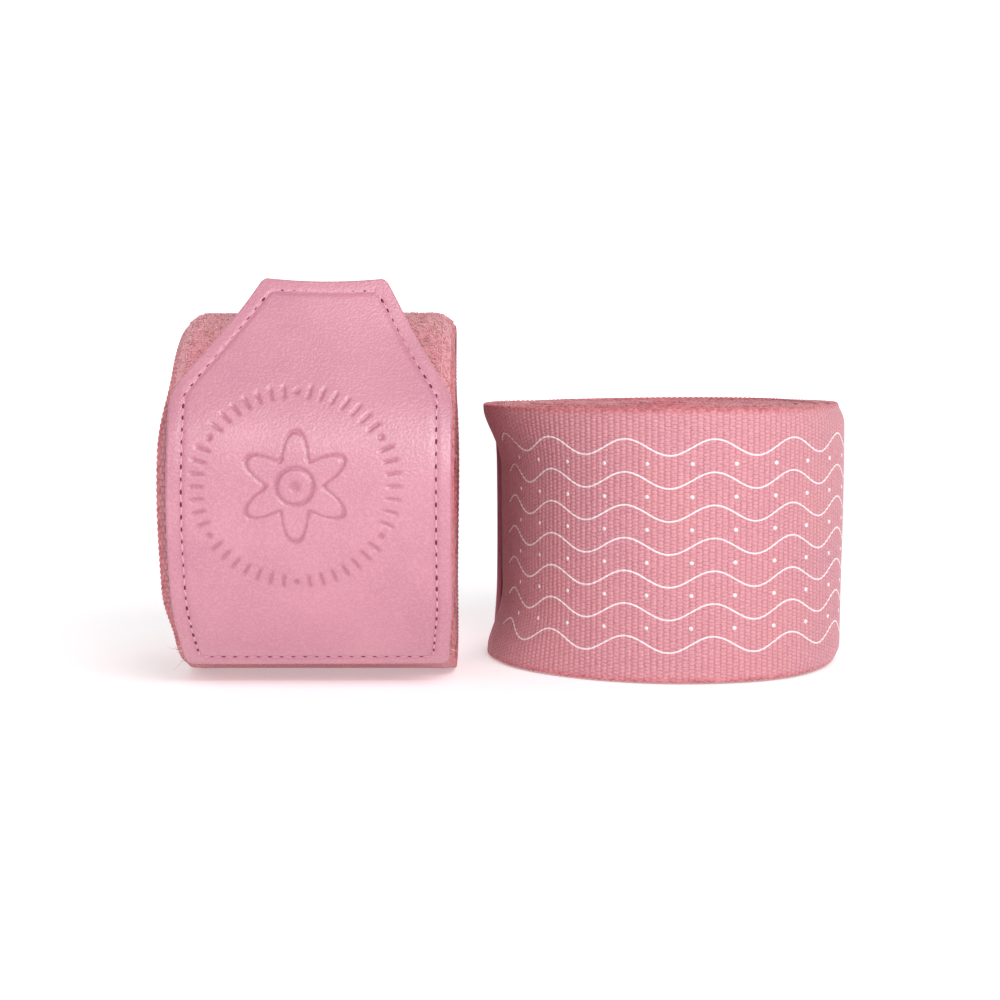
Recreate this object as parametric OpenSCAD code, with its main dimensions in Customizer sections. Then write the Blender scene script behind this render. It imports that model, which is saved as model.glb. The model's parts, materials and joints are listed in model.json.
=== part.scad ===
// Matched pair of rolled hand wraps. Each wrap is a long woven band rolled from its thumb loop
// outwards, closed by a leather flap with a hook-and-loop fastener. The left wrap lies on its
// rolled side with the closure in front. The right wrap stands on end with its closure behind.
// The frame's origin is on the ground under the middle of the pair; +Z is up and -Y is the front.

/* [Band] */
// Width of the woven band
band_w = 50; // [40:1:65]
// Thickness of the band as it is rolled
band_t = 0.75; // [0.5:0.05:1.2]
// Air left between one turn and the next
turn_gap = 0.06; // [0.03:0.01:0.2]
// Number of full turns in the roll
turns = 36; // [20:1:40]
// Width of the flat that the roll is pressed to, top and bottom
roll_flat = 5; // [3:0.5:10]

/* [Thumb loop] */
// Width of the thumb loop's webbing
loop_w = 24; // [15:1:30]
// Thickness of the webbing
loop_t = 0.8; // [0.7:0.1:1.4]
// Air between two layers of webbing
loop_gap = 0.1; // [0.05:0.05:0.3]
// Radius of the innermost bend of the pressed loop
loop_bend_r = 0.3; // [0.2:0.1:1]

/* [Closure] */
// Width of the leather closure
closure_w = 49.5; // [38:0.5:60]
// Width of its sewn lower edge
root_w = 46; // [30:0.5:48]
// Width of the flap's tip
tip_w = 22; // [10:1:30]
// Length of the tapered tip
taper_len = 23; // [10:1:24]
// Length of the flap that stands straight, off the roll
straight_len = 24.5; // [24.5:0.5:35]
// Thickness of the leather
leather_t = 1.2; // [0.8:0.1:2]
// Thickness of the flap's lining
lining_t = 0.4; // [0.3:0.1:0.8]
// Height above the roll's middle, as an angle, of the sewn lower edge
root_a = -54; // [-58:1:-45]
// The same for the line where the flap folds open
fold_a = -30; // [-35:1:-20]
// The same for the line where the flap leaves the roll
lift_a = 30; // [10:1:40]
// Gap in the leather at the fold
fold_gap = 0.3; // [0.2:0.1:0.6]

/* [Fastener] */
// Width of the loop pile strip
pile_w = 47.5; // [30:0.5:49]
// Thickness of the pile strip
pile_t = 1.2; // [0.8:0.1:2]
// Height, as an angle, of the pile strip's lower end
pile_start_a = -25; // [-28:1:-10]
// How far the pile strip runs past the top of the roll, as an angle
pile_over_a = 8; // [0:1:30]
// Thickness of the hook strip
hook_t = 1.0; // [0.6:0.1:1.6]
// Distance from the leather's edge to the hook strip
hook_margin = 4; // [3.5:0.5:6]
// Height, as an angle, of the hook strip's lower end
hook_start_a = -24; // [-26:1:-10]
// Clearance between hooks and pile
mate_gap = 0.3; // [0.2:0.05:0.6]

/* [Stitching] */
// Distance from one stitch to the next
stitch_pitch = 2.15; // [1.8:0.05:4]
// Length of a stitch
stitch_len = 1.5; // [1:0.1:1.6]
// Radius of the sewing thread
thread_r = 0.3; // [0.2:0.05:0.4]
// Distance from the leather's edge to its stitching
stitch_inset = 2.7; // [2:0.1:3.4]
// Distance from the pile strip's edge to its stitching
pile_inset = 1.6; // [1:0.1:3]
// Distance from one pile strip stitch to the next
pile_stitch_pitch = 4; // [3:0.5:8]
// Number of stitches in each row of the thumb loop's bar tack
bartack_count = 9; // [5:1:9]

/* [Pair] */
// Gap between the end of the left roll and the side of the right one
pair_gap = 7.5; // [3:0.5:30]
// How far the left roll lies in front of the right one
pair_step = 12; // [0:1:20]
// Turn of the right roll about its upright axis
right_yaw = 15; // [0:1:20]

/* [Hidden] */
$fn = 96;
DEG = 180 / PI;
pitch = band_t + turn_gap;
loop_pair_t = 2 * loop_t + loop_gap;
loop_pitch = loop_pair_t + loop_gap;
// the band's first turn lies on the rolled thumb loop
core_r = loop_bend_r + loop_pitch + loop_pair_t;
half_flat = roll_flat / 2;

// outer faces of the roll, measured from the centres of its front and back bends
front_r = core_r + (turns - 1) * pitch + band_t;
back_r = front_r + pitch / 2;
lap_r = core_r + turns * pitch + band_t;

// faces of the closure's layers, from the centre of the front bends
hook_r = front_r + pile_t + mate_gap;
lining_r = hook_r + hook_t;
leather_r = lining_r + lining_t;
closure_r = leather_r + leather_t;

// lengths along the closure's outer face, counted from the fold
base_len = closure_r * (fold_a - root_a) / DEG;
arc_len = closure_r * (lift_a - fold_a) / DEG;
flap_len = arc_len + straight_len;
taper_a = atan2((closure_w - tip_w) / 2, taper_len);
flap_start_a = fold_a + fold_gap / closure_r * DEG;
hem_margin_a = 3;

// how far a cutting outline runs past what it cuts, and a straight layer into its bend
slack = 1;
join = 0.2;
bartack_row = 1.6;
stitch_sink = 0.1;

// places of the two rolls
left_z = lap_r;
pile_reach = (back_r + pile_t) * cos(max(0, right_yaw - pile_over_a));
right_reach = max(back_r, pile_reach) + half_flat * sin(right_yaw) - pitch / 2 * cos(right_yaw);
right_root = closure_r * sin(-root_a) * cos(right_yaw)
    + (half_flat + closure_r * cos(root_a)) * sin(right_yaw);
pair_w = band_w + pair_gap + right_root + right_reach;
left_pos = [(band_w - pair_w) / 2, -pair_step / 2, left_z];
right_pos = [pair_w / 2 - right_reach, pair_step / 2, band_w / 2];

// The roll's own frame: its axis is X, the front is -Y, and bends turn about lines along X.
// Angles in bend() start at the back (+Y) and rise over the top: 90 is the top, 180 the front.

// a bent layer, t thick and w wide, about the line y, z
module bend(y, z, r, t, w, from, to) {
    translate([0, y, z])
        rotate([90, 0, 90])
            rotate([0, 0, from])
                rotate_extrude(angle = to - from)
                    translate([r, -w / 2])
                        square([t, w]);
}

// a flat layer between the front bends and the back bends, whose lower face is at z
module flat_layer(z, t, w) {
    translate([-w / 2, -half_flat, z])
        cube([w, roll_flat, t]);
}

module front_bend(r, t, w, from = 90, to = 270) {
    bend(-half_flat, 0, r, t, w, from, to);
}

// a back bend joins a turn to the next one, so its centre is half a step lower
module back_bend(r, step, t, w, from = -90, to = 90) {
    bend(half_flat, -step / 2, r + step / 2, t, w, from, to);
}

// one turn of a roll, from the bottom up the front, over the top and down the back
module turn(r, step, t, w) {
    front_bend(r, t, w);
    flat_layer(r, t, w);
    back_bend(r, step, t, w);
    flat_layer(-r - step - t, t, w);
}

// Places on the closure's outer face: s is the distance from the fold, negative below it.
function path_angle(s) = s < arc_len ? fold_a + s / closure_r * DEG : lift_a;
function path_y(s) = -half_flat - closure_r * cos(path_angle(s))
    + max(0, s - arc_len) * sin(lift_a);
function path_z(s) = closure_r * sin(path_angle(s)) + max(0, s - arc_len) * cos(lift_a);

// Corners of a line that runs inside the closure's outline by a margin.
function side_x(margin) = closure_w / 2 - margin;
function taper_s(margin) = straight_len - taper_len - margin * tan(taper_a / 2);
function tip_x(margin) = tip_w / 2 - margin * tan((90 - taper_a) / 2);

// a layer of the flap: bent round the roll, then straight and tapered
module flap_layer(r, t, from_a, margin) {
    front_bend(r, t, 2 * side_x(margin), 180 - lift_a, 180 - from_a);
    translate([0, -half_flat - r * cos(lift_a), r * sin(lift_a)])
        rotate([90 - lift_a, 0, 0])
            linear_extrude(height = t)
                polygon([
                    [-side_x(margin), -join],
                    [side_x(margin), -join],
                    [side_x(margin), max(taper_s(margin), 0)],
                    [tip_x(margin), straight_len - margin],
                    [-tip_x(margin), straight_len - margin],
                    [-side_x(margin), max(taper_s(margin), 0)]
                ]);
}

// one stitch on the closure's outer face, turned by a from the roll's own direction
module stitch(x, s, a) {
    translate([x, path_y(s), path_z(s)])
        rotate([-path_angle(s), 0, 0])
            translate([0, stitch_sink, 0])
                rotate([0, a, 0])
                    cylinder(h = stitch_len, r = thread_r, center = true);
}

// evenly spaced stitches on a line between two places on the closure
module stitch_line(from, to) {
    step = to - from;
    count = floor(norm(step) / stitch_pitch);
    for (i = [0 : count - 1]) {
        place = from + step * (i + 0.5) / count;
        stitch(place[0], place[1], atan2(step[0], step[1]));
    }
}

module band() {
    color([0.87, 0.54, 0.57]) {
        for (k = [0 : turns - 1])
            turn(core_r + k * pitch, pitch, band_t, band_w);
        // the last lap runs up the front to the fold, under the closure's base
        front_bend(core_r + turns * pitch, band_t, band_w, 180 - fold_a, 270);
    }
}

// one layer of the flattened loop, rolled from the core out to the top of its second turn
module loop_layer(r) {
    turn(r, loop_pitch, loop_t, loop_w);
    front_bend(r + loop_pitch, loop_t, loop_w);
    flat_layer(r + loop_pitch, loop_t, loop_w);
}

// the end of the flattened loop, where one layer turns back into the other
module loop_end(y, z) {
    bend(y, z, loop_gap / 2, loop_t, loop_w, -90, 90);
}

module thumb_loop() {
    middle = loop_pair_t / 2;
    color([0.8, 0.42, 0.46]) {
        loop_layer(loop_bend_r);
        loop_layer(loop_bend_r + loop_t + loop_gap);
        loop_end(-half_flat, -loop_bend_r - middle);
        loop_end(half_flat, loop_bend_r + loop_pitch + middle);
    }
}

module thumb_loop_bartack() {
    tack_step = loop_w / (bartack_count + 1);
    color([0.94, 0.8, 0.84])
        for (row = [-1, 1], i = [1 : bartack_count])
            translate([i * tack_step - loop_w / 2, row * bartack_row, loop_bend_r + loop_pitch])
                cylinder(h = loop_pair_t + band_t, r = thread_r);
}

// the band's end, folded under between its last lap and the leather
module band_end_hem() {
    color([0.8, 0.38, 0.42])
        front_bend(lap_r, leather_r - lap_r, root_w - 2, 180 - fold_a, 180 - root_a - hem_margin_a);
}

module pile_strip() {
    color([0.78, 0.5, 0.53]) {
        front_bend(front_r, pile_t, pile_w, 90, 180 - pile_start_a);
        flat_layer(front_r, pile_t, pile_w);
        back_bend(front_r, pitch, pile_t, pile_w, 90, 90 - pile_over_a);
    }
}

module pile_stitching() {
    face_r = front_r + pile_t - stitch_sink;
    row_len = face_r * (90 - pile_start_a) / DEG;
    count = floor(row_len / pile_stitch_pitch);
    color([0.94, 0.8, 0.84])
        for (side = [-1, 1], i = [0 : count - 1]) {
            a = pile_start_a + (i + 0.5) / count * (90 - pile_start_a);
            translate([side * (pile_w / 2 - pile_inset), -half_flat, 0])
                rotate([-a, 0, 0])
                    translate([0, -face_r, 0])
                        cylinder(h = stitch_len, r = thread_r, center = true);
        }
}

// the closure's lower part, which narrows towards the sewn edge
module closure_base() {
    top_z = closure_r * sin(fold_a);
    low_z = closure_r * sin(root_a);
    color([0.88, 0.61, 0.69])
        intersection() {
            front_bend(leather_r, leather_t, closure_w, 180 - fold_a, 180 - root_a);
            rotate([90, 0, 0])
                linear_extrude(height = closure_r + half_flat + slack)
                    polygon([
                        [-closure_w / 2, top_z + slack],
                        [-closure_w / 2, top_z],
                        [-root_w / 2, low_z],
                        [-root_w / 2, low_z - slack],
                        [root_w / 2, low_z - slack],
                        [root_w / 2, low_z],
                        [closure_w / 2, top_z],
                        [closure_w / 2, top_z + slack]
                    ]);
        }
}

module base_stitching() {
    low_x = root_w / 2 - stitch_inset;
    low_s = stitch_inset - base_len;
    color([0.94, 0.8, 0.84]) {
        stitch_line([-low_x, low_s], [low_x, low_s]);
        for (side = [-1, 1])
            stitch_line([side * low_x, low_s + stitch_len], [side * side_x(stitch_inset), 0]);
    }
}

module closure_flap() {
    color([0.88, 0.61, 0.69])
        flap_layer(leather_r, leather_t, flap_start_a, 0);
}

module flap_lining() {
    color([0.72, 0.36, 0.42])
        flap_layer(lining_r, lining_t, flap_start_a, 1);
}

module hook_strip() {
    color([0.82, 0.6, 0.64])
        flap_layer(hook_r, hook_t, hook_start_a, hook_margin);
}

module flap_stitching() {
    m = stitch_inset;
    corner_s = arc_len + taper_s(m);
    tip_s = flap_len - m;
    color([0.94, 0.8, 0.84]) {
        for (side = [-1, 1]) {
            stitch_line([side * side_x(m), fold_gap + stitch_len / 2], [side * side_x(m), corner_s]);
            stitch_line([side * side_x(m), corner_s], [side * tip_x(m), tip_s]);
        }
        stitch_line([-tip_x(m), tip_s], [tip_x(m), tip_s]);
    }
}

module left() {
    translate(left_pos)
        children();
}

// on end, with the roll's axis upright and its front turned to the back
module right() {
    translate(right_pos)
        rotate([0, -90, 180 + right_yaw])
            children();
}

left() band();  // left_band
left() thumb_loop();  // left_thumb_loop
left() thumb_loop_bartack();  // left_thumb_loop_bartack
left() band_end_hem();  // left_band_end_hem
left() pile_strip();  // left_pile_strip
left() pile_stitching();  // left_pile_stitching
left() closure_base();  // left_closure_base
left() base_stitching();  // left_base_stitching
left() closure_flap();  // left_closure_flap
left() flap_lining();  // left_flap_lining
left() hook_strip();  // left_hook_strip
left() flap_stitching();  // left_flap_stitching
right() band();  // right_band
right() thumb_loop();  // right_thumb_loop
right() thumb_loop_bartack();  // right_thumb_loop_bartack
right() band_end_hem();  // right_band_end_hem
right() pile_strip();  // right_pile_strip
right() pile_stitching();  // right_pile_stitching
right() closure_base();  // right_closure_base
right() base_stitching();  // right_base_stitching
right() closure_flap();  // right_closure_flap
right() flap_lining();  // right_flap_lining
right() hook_strip();  // right_hook_strip
right() flap_stitching();  // right_flap_stitching
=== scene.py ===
"""Looks for a matched pair of rolled hand wraps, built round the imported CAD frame."""
import json
import math

import bmesh
import bpy
import numpy as np
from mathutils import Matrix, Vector


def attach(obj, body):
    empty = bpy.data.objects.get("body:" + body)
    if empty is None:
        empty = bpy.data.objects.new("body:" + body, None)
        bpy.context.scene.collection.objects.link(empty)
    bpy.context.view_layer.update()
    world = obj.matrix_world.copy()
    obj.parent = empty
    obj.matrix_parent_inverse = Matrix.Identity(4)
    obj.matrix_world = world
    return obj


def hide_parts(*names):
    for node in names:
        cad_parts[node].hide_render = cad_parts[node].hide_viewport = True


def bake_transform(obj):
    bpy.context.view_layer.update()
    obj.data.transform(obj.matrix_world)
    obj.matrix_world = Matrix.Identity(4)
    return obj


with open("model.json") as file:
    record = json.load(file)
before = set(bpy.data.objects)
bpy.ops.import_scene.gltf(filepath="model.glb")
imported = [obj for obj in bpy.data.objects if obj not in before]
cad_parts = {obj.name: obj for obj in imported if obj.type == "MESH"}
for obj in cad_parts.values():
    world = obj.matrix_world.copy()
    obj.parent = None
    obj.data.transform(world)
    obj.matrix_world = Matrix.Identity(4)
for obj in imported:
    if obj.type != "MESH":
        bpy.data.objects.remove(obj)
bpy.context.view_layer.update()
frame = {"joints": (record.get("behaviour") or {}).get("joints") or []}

MM = 0.001
SIDES = ("left", "right")

# ---- driving sizes, in millimetres
# The same values as the CAD model's, for a roll in its own frame: its axis is X, its front -Y.
BAND_W, BAND_T, TURN_GAP, TURNS, HALF_FLAT = 50.0, 0.75, 0.06, 36, 2.5
LOOP_W, LOOP_T, LOOP_GAP, LOOP_BEND_R = 24.0, 0.8, 0.1, 0.3
CLOSURE_W, ROOT_W, TIP_W, TAPER_LEN, STRAIGHT_LEN = 49.5, 47.4, 22.0, 23.0, 24.5
LEATHER_T, LINING_T, HOOK_T, PILE_T, MATE_GAP = 1.2, 0.4, 1.0, 1.2, 0.3
PILE_W, HOOK_MARGIN, LINING_MARGIN, STITCH_INSET = 47.5, 4.0, 1.0, 2.7
ROOT_A, FOLD_A, LIFT_A, PILE_START_A, HOOK_START_A, PILE_OVER_A = -54, -30, 30, -25, -24, 8
RIGHT_YAW = 15

PITCH = BAND_T + TURN_GAP
LOOP_PAIR_T = 2 * LOOP_T + LOOP_GAP
LOOP_PITCH = LOOP_PAIR_T + LOOP_GAP
CORE_R = LOOP_BEND_R + LOOP_PITCH + LOOP_PAIR_T
FRONT_R = CORE_R + (TURNS - 1) * PITCH + BAND_T
LAP_R = CORE_R + TURNS * PITCH + BAND_T
HOOK_R = FRONT_R + PILE_T + MATE_GAP
LINING_R = HOOK_R + HOOK_T
LEATHER_R = LINING_R + LINING_T
CLOSURE_R = LEATHER_R + LEATHER_T

BASE_LEN = CLOSURE_R * math.radians(FOLD_A - ROOT_A)
ARC_LEN = CLOSURE_R * math.radians(LIFT_A - FOLD_A)
FLAP_LEN = ARC_LEN + STRAIGHT_LEN
TAPER_S = FLAP_LEN - TAPER_LEN

# textile scale
RIB = 1.15          # from one rib of the weave to the next, along the band
RIB_H = 0.2         # height of a rib
RIB_SAMPLES = 5     # points along the band for each rib of the outer turn
CORE_SAMPLES = 2    # the same for the turns inside the roll
ACROSS = 0.75       # distance between points across the outer turn
SELVEDGE = 2.2      # width of the smoother edge of the weave
STITCH = 2.15       # from one stitch to the next
ROLL_R = 34         # about the roll's radius, where it is slackest


# ---- small helpers
def side_seed(seed, side):
    """A fixed seed for this side, so that the two rolls aren't copies of each other."""
    return seed + SIDES.index(side)


def smooth(x, low, high):
    """0 below low, 1 above high, and a smooth step between."""
    t = np.clip((np.asarray(x, float) - low) / (high - low), 0, 1)
    return t * t * (3 - 2 * t)


def wander(x, seed, wave, octaves=3):
    """A smooth random curve of x, from about -1 to 1. wave is the longest wavelength."""
    rng = np.random.default_rng(seed)
    x = np.asarray(x, float)
    total, weight = np.zeros_like(x), 0.0
    for octave in range(octaves):
        for _ in range(3):
            length = wave / 2 ** octave * rng.uniform(0.7, 1.3)
            total = total + np.sin(2 * np.pi * x / length + rng.uniform(0, 2 * np.pi)) / 2 ** octave
            weight += 0.6 / 2 ** octave
    return total / weight


def wander2(x, y, seed, wave):
    """A smooth random field of x and y, from about -1 to 1."""
    rng = np.random.default_rng(seed)
    total = np.zeros(np.broadcast(x, y).shape)
    for _ in range(9):
        turn, length = rng.uniform(0, np.pi), wave * rng.uniform(0.5, 1.6)
        along = np.cos(turn) * x + np.sin(turn) * y
        total = total + np.sin(2 * np.pi * along / length + rng.uniform(0, 2 * np.pi))
    return total / 4.5


class Path:
    """A line in the roll's own YZ plane, with its outward normals, read by distance along it."""

    def __init__(self, points, normals):
        self.p, self.n = np.array(points, float), np.array(normals, float)
        steps = np.linalg.norm(np.diff(self.p, axis=0), axis=1)
        keep = np.concatenate([[True], steps > 1e-6])
        self.p, self.n = self.p[keep], self.n[keep]
        steps = np.linalg.norm(np.diff(self.p, axis=0), axis=1)
        self.s = np.concatenate([[0.0], np.cumsum(steps)])
        self.length = self.s[-1]

    def at(self, s):
        point = np.stack([np.interp(s, self.s, self.p[:, i]) for i in (0, 1)], -1)
        normal = np.stack([np.interp(s, self.s, self.n[:, i]) for i in (0, 1)], -1)
        return point, normal / np.linalg.norm(normal, axis=-1, keepdims=True)

    def moved(self, offset):
        """The line that runs at this height over this one."""
        return Path(self.p + self.n * offset, self.n)


def arc(y, z, r, start, end):
    """Points and normals of a bend about the line y, z. 0 degrees is the back and 90 the top."""
    count = max(int(abs(end - start) / 1.5), 3)
    a = np.radians(np.linspace(start, end, count))
    normal = np.stack([np.cos(a), np.sin(a)], -1)
    return np.array([y, z]) + normal * r, normal


def flat_run(z, start, end, side):
    y = np.linspace(start, end, 4)
    return np.stack([y, np.full(4, z)], -1), np.tile([0.0, side], (4, 1))


def wound(r, step, first, last, lap=None):
    """The inner face of a roll's turns first to last, and then up the front as far as angle lap."""
    runs = []
    for k in range(first, last):
        turn_r = r + k * step
        runs += [
            arc(-HALF_FLAT, 0, turn_r, 270, 90),
            flat_run(turn_r, -HALF_FLAT, HALF_FLAT, 1),
            arc(HALF_FLAT, -step / 2, turn_r + step / 2, 90, -90),
            flat_run(-turn_r - step, HALF_FLAT, -HALF_FLAT, -1),
        ]
    if lap is not None:
        runs.append(arc(-HALF_FLAT, 0, r + last * step, 270, lap))
    return Path(np.concatenate([p for p, _ in runs]), np.concatenate([n for _, n in runs]))


def closure_path(r=CLOSURE_R, start=ROOT_A, end_len=STRAIGHT_LEN):
    """The line that the closure follows: bent round the front, then straight."""
    bent, normals = arc(-HALF_FLAT, 0, r, 180 - start, 180 - LIFT_A)
    lift = math.radians(LIFT_A)
    along = np.array([math.sin(lift), math.cos(lift)])
    out = np.array([-math.cos(lift), math.sin(lift)])
    # the free end curls away from the roll by a hair, as a stiff flap does
    run = np.linspace(0, end_len, 24)[1:, None]
    curl = 0.9 * (run / STRAIGHT_LEN) ** 2
    slope = 1.8 * run / STRAIGHT_LEN ** 2
    straight = bent[-1] + along * run + out * curl
    turned = out - along * slope
    turned /= np.linalg.norm(turned, axis=1, keepdims=True)
    return Path(np.concatenate([bent, straight]), np.concatenate([normals, turned]))


# ---- places of the two rolls
def to_world_axes(side, v):
    """A direction in the roll's own frame, turned as that roll lies."""
    v = np.asarray(v, float)
    if side == "left":
        return v
    x, y, z = v[..., 2], -v[..., 1], v[..., 0]
    c, s = math.cos(math.radians(RIGHT_YAW)), math.sin(math.radians(RIGHT_YAW))
    return np.stack([c * x - s * y, s * x + c * y, z], -1)


def roll_centre(side):
    """Each roll's middle, from its peel joint, which lies on the closure's fold."""
    hinge = next(j for j in frame["joints"] if j["name"] == f"{side}_flap_peel")
    fold = math.radians(FOLD_A)
    own = [0, -HALF_FLAT - CLOSURE_R * math.cos(fold), CLOSURE_R * math.sin(fold)]
    return np.array(hinge["pos_m"]) / MM - to_world_axes(side, own)


CENTRE = {side: roll_centre(side) for side in SIDES}


def settled(side, points):
    """Own-frame points with the slight slackness of a hand-rolled band. The flat foot stays flat."""
    x, y, z = points[..., 0], points[..., 1], points[..., 2]
    radius = np.hypot(y, z)
    angle = np.arctan2(z, y)
    round_y, round_z = np.cos(angle) * ROLL_R, np.sin(angle) * ROLL_R
    soft = wander2(round_y + 0.5 * x, round_z - 0.4 * x, side_seed(11, side), 62)
    soft = soft * 0.32 * smooth(radius, 12, ROLL_R)
    foot = smooth(np.abs(angle + np.pi / 2), 0.2, 0.9) if side == "left" else 1.0
    # the edges of the turns are pressed in along the roll's own top
    outer = (radius / ROLL_R) ** 2
    shoulder = 1.1 * smooth(np.abs(x), 21.0, 25.5) ** 1.5 * smooth(np.sin(angle), 0.15, 0.8) * outer
    if side == "right":
        # the left flank of the standing roll is hollow between its edges
        dent = np.exp(-((angle + np.pi / 2) / 0.62) ** 2) * (1 - smooth(np.abs(x), 12, 25)) * outer
        shoulder = shoulder + 1.5 * dent
    grow = 1 + (soft * foot - shoulder) / np.maximum(radius, 1)
    return np.stack([x, y * grow, z * grow], -1)


def placed(side, points):
    """Own-frame millimetres to row-frame metres."""
    world = to_world_axes(side, settled(side, np.asarray(points, float))) + CENTRE[side]
    return world * MM


# ---- mesh building
def joined(x, yz):
    """Points of a roll's own frame, from their x and their places in its YZ plane."""
    return np.concatenate([np.asarray(x)[..., None], yz], -1)


def grid_faces(rows, columns, close_columns=False):
    """Quads of a grid whose points run along its columns first."""
    i = np.arange(rows - 1)[:, None]
    j = np.arange(columns if close_columns else columns - 1)[None, :]
    j2 = (j + 1) % columns
    corners = [i * columns + j, i * columns + j2, (i + 1) * columns + j2, (i + 1) * columns + j]
    return np.stack([np.broadcast_to(c, (i.size, j.size)).ravel() for c in corners], 1)


def cloth_uv(s, x):
    """Texture places of a cloth's points: centimetres along it and across it."""
    return np.stack(np.broadcast_arrays(s / 10, x / 10), -1).reshape(-1, 2)


def end_caps(rows, columns):
    """The two faces that close a tube whose rings are the rows of a grid."""
    last = (rows - 1) * columns
    return [list(range(columns))[::-1], list(range(last, last + columns))]


def make_mesh(name, verts, faces, smooth_faces=True, uv=None, values=None):
    """verts in row-frame metres. faces is a list of groups of faces. uv and values are per point."""
    mesh = bpy.data.meshes.new(name)
    faces = [f for group in faces for f in (group.tolist() if hasattr(group, "tolist") else group)]
    mesh.from_pydata(np.asarray(verts, float).reshape(-1, 3).tolist(), [], faces)
    if uv is not None:
        layer = mesh.uv_layers.new(name="weave")
        corner = np.empty(len(mesh.loops), np.int32)
        mesh.loops.foreach_get("vertex_index", corner)
        layer.uv.foreach_set("vector", np.asarray(uv, np.float32)[corner].ravel())
    for key, value in (values or {}).items():
        layer = mesh.attributes.new(key, "FLOAT", "POINT")
        layer.data.foreach_set("value", np.asarray(value, np.float32).ravel())
    mesh.polygons.foreach_set("use_smooth", [smooth_faces] * len(mesh.polygons))
    mesh.update()
    obj = bpy.data.objects.new(name, mesh)
    bpy.context.collection.objects.link(obj)
    return obj


def outward(obj):
    """Turns all faces outward."""
    bm = bmesh.new()
    bm.from_mesh(obj.data)
    bmesh.ops.recalc_face_normals(bm, faces=bm.faces)
    bm.to_mesh(obj.data)
    bm.free()
    return obj


class Bunch:
    """Many small closed pieces collected into one mesh, such as stitches or fibres."""

    def __init__(self):
        self.verts, self.faces, self.values, self.count = [], [], [], 0

    def add(self, verts, faces, value=0.0):
        verts = np.asarray(verts, float).reshape(-1, 3)
        self.faces += [[int(i) + self.count for i in f] for f in faces]
        self.verts.append(verts)
        self.values.append(np.full(len(verts), value))
        self.count += len(verts)

    def tubes(self, side, lines, radii, sides=5, values=0.0):
        """Closed round threads along own-frame lines, all with as many points, a radius at each."""
        lines = np.asarray(lines, float)
        lines = lines[None] if lines.ndim == 2 else lines
        many, count, _ = lines.shape
        radii = np.broadcast_to(radii, (many, count))
        tangent = np.gradient(lines, axis=1)
        tangent /= np.linalg.norm(tangent, axis=2, keepdims=True) + 1e-9
        across = np.cross(tangent, [0.31, 0.57, 0.76])
        across /= np.linalg.norm(across, axis=2, keepdims=True) + 1e-9
        over = np.cross(tangent, across)
        a = (np.arange(sides) * 2 * np.pi / sides)[:, None]
        ring = across[:, :, None] * np.cos(a) + over[:, :, None] * np.sin(a)
        verts = placed(side, lines[:, :, None] + ring * radii[:, :, None, None])
        faces = grid_faces(count, sides, True).tolist() + end_caps(count, sides)
        values = np.broadcast_to(values, (many,))
        for i in range(many):
            self.add(verts[i], faces, values[i])

    def build(self, name, smooth_faces=True):
        return make_mesh(name, np.concatenate(self.verts), [self.faces], smooth_faces,
                         values={"shade": np.concatenate(self.values)})


# ---- the woven band
def rib_height(s, x, seed):
    """Height of the weave's ribs at distance s along the band, x across it."""
    wave = np.abs(np.cos(np.pi * s / RIB)) ** 0.7
    loose = 1 + 0.18 * wander(s, seed, 9.0)
    edge = smooth(BAND_W / 2 - np.abs(x), 0.6, SELVEDGE)
    return RIB_H * loose * wave * (0.45 + 0.55 * edge)


def edge_wander(s, seed, size):
    """How far the band's edge lies off its true line: turns that slipped, and the ends of the ribs."""
    slip = wander(s, seed, 260, 4) * size
    teeth = 0.16 * np.abs(np.cos(np.pi * s / RIB)) ** 1.5
    return slip, teeth


BAND_PATH = wound(CORE_R, PITCH, 0, TURNS, 180 - FOLD_A)
LAST_TURN = wound(CORE_R, PITCH, 0, TURNS - 1).length
LAP_START = wound(CORE_R, PITCH, 0, TURNS).length
FACE_START = LAST_TURN + FRONT_R * 0.5   # the outer turn's own mesh starts under the lap


def lap_flare(side, s, x):
    """How far the outermost lap springs off the roll at its edges, which the right one does far more."""
    if side == "left":
        return 0.25 * smooth(s, LAP_START, LAP_START + 20) * smooth(np.abs(x), 17, 25)
    near = smooth(s, LAP_START - 28, LAP_START + 4) * (1 - smooth(s, LAP_START + 20, LAP_START + 34))
    corner = smooth(np.abs(x), 10, BAND_W / 2) ** 1.6
    return near * corner * (2.5 + 0.35 * np.sign(x))


def band_section(across_step):
    """Across the band: x, height as a share of its thickness, and how much of the ribs shows."""
    r = BAND_T / 2
    flat = BAND_W / 2 - r
    count = max(int(2 * flat / across_step), 2)
    few = [-flat, 1.5 - flat, -12, 0, 12, flat - 1.5, flat]
    top = [(x, 1.0, 1.0) for x in (np.linspace(-flat, flat, count) if across_step < 5 else few)]
    turn = np.radians([60, 20, -20, -60])
    right_edge = [(flat + r * math.cos(a), 0.5 + 0.5 * math.sin(a), 0.5 + 0.5 * math.sin(a)) for a in turn]
    left_edge = [(-x, h, w) for x, h, w in right_edge[::-1]]
    under = [(x, 0.0, 0.0) for x in (np.linspace(flat, -flat, 13) if across_step < 5 else few[::-2])]
    return np.array(top + right_edge + under + left_edge)


def lap_slip(side, s):
    """The left band's last turns ran off to one side as it was rolled."""
    if side == "right":
        return 0.0
    out = smooth(s, LAST_TURN + 22, LAST_TURN + 34) * (1 - smooth(s, LAST_TURN + 60, LAST_TURN + 76))
    return 0.9 * smooth(s, LAP_START - 50, LAP_START - 10) - 1.35 * out


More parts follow.
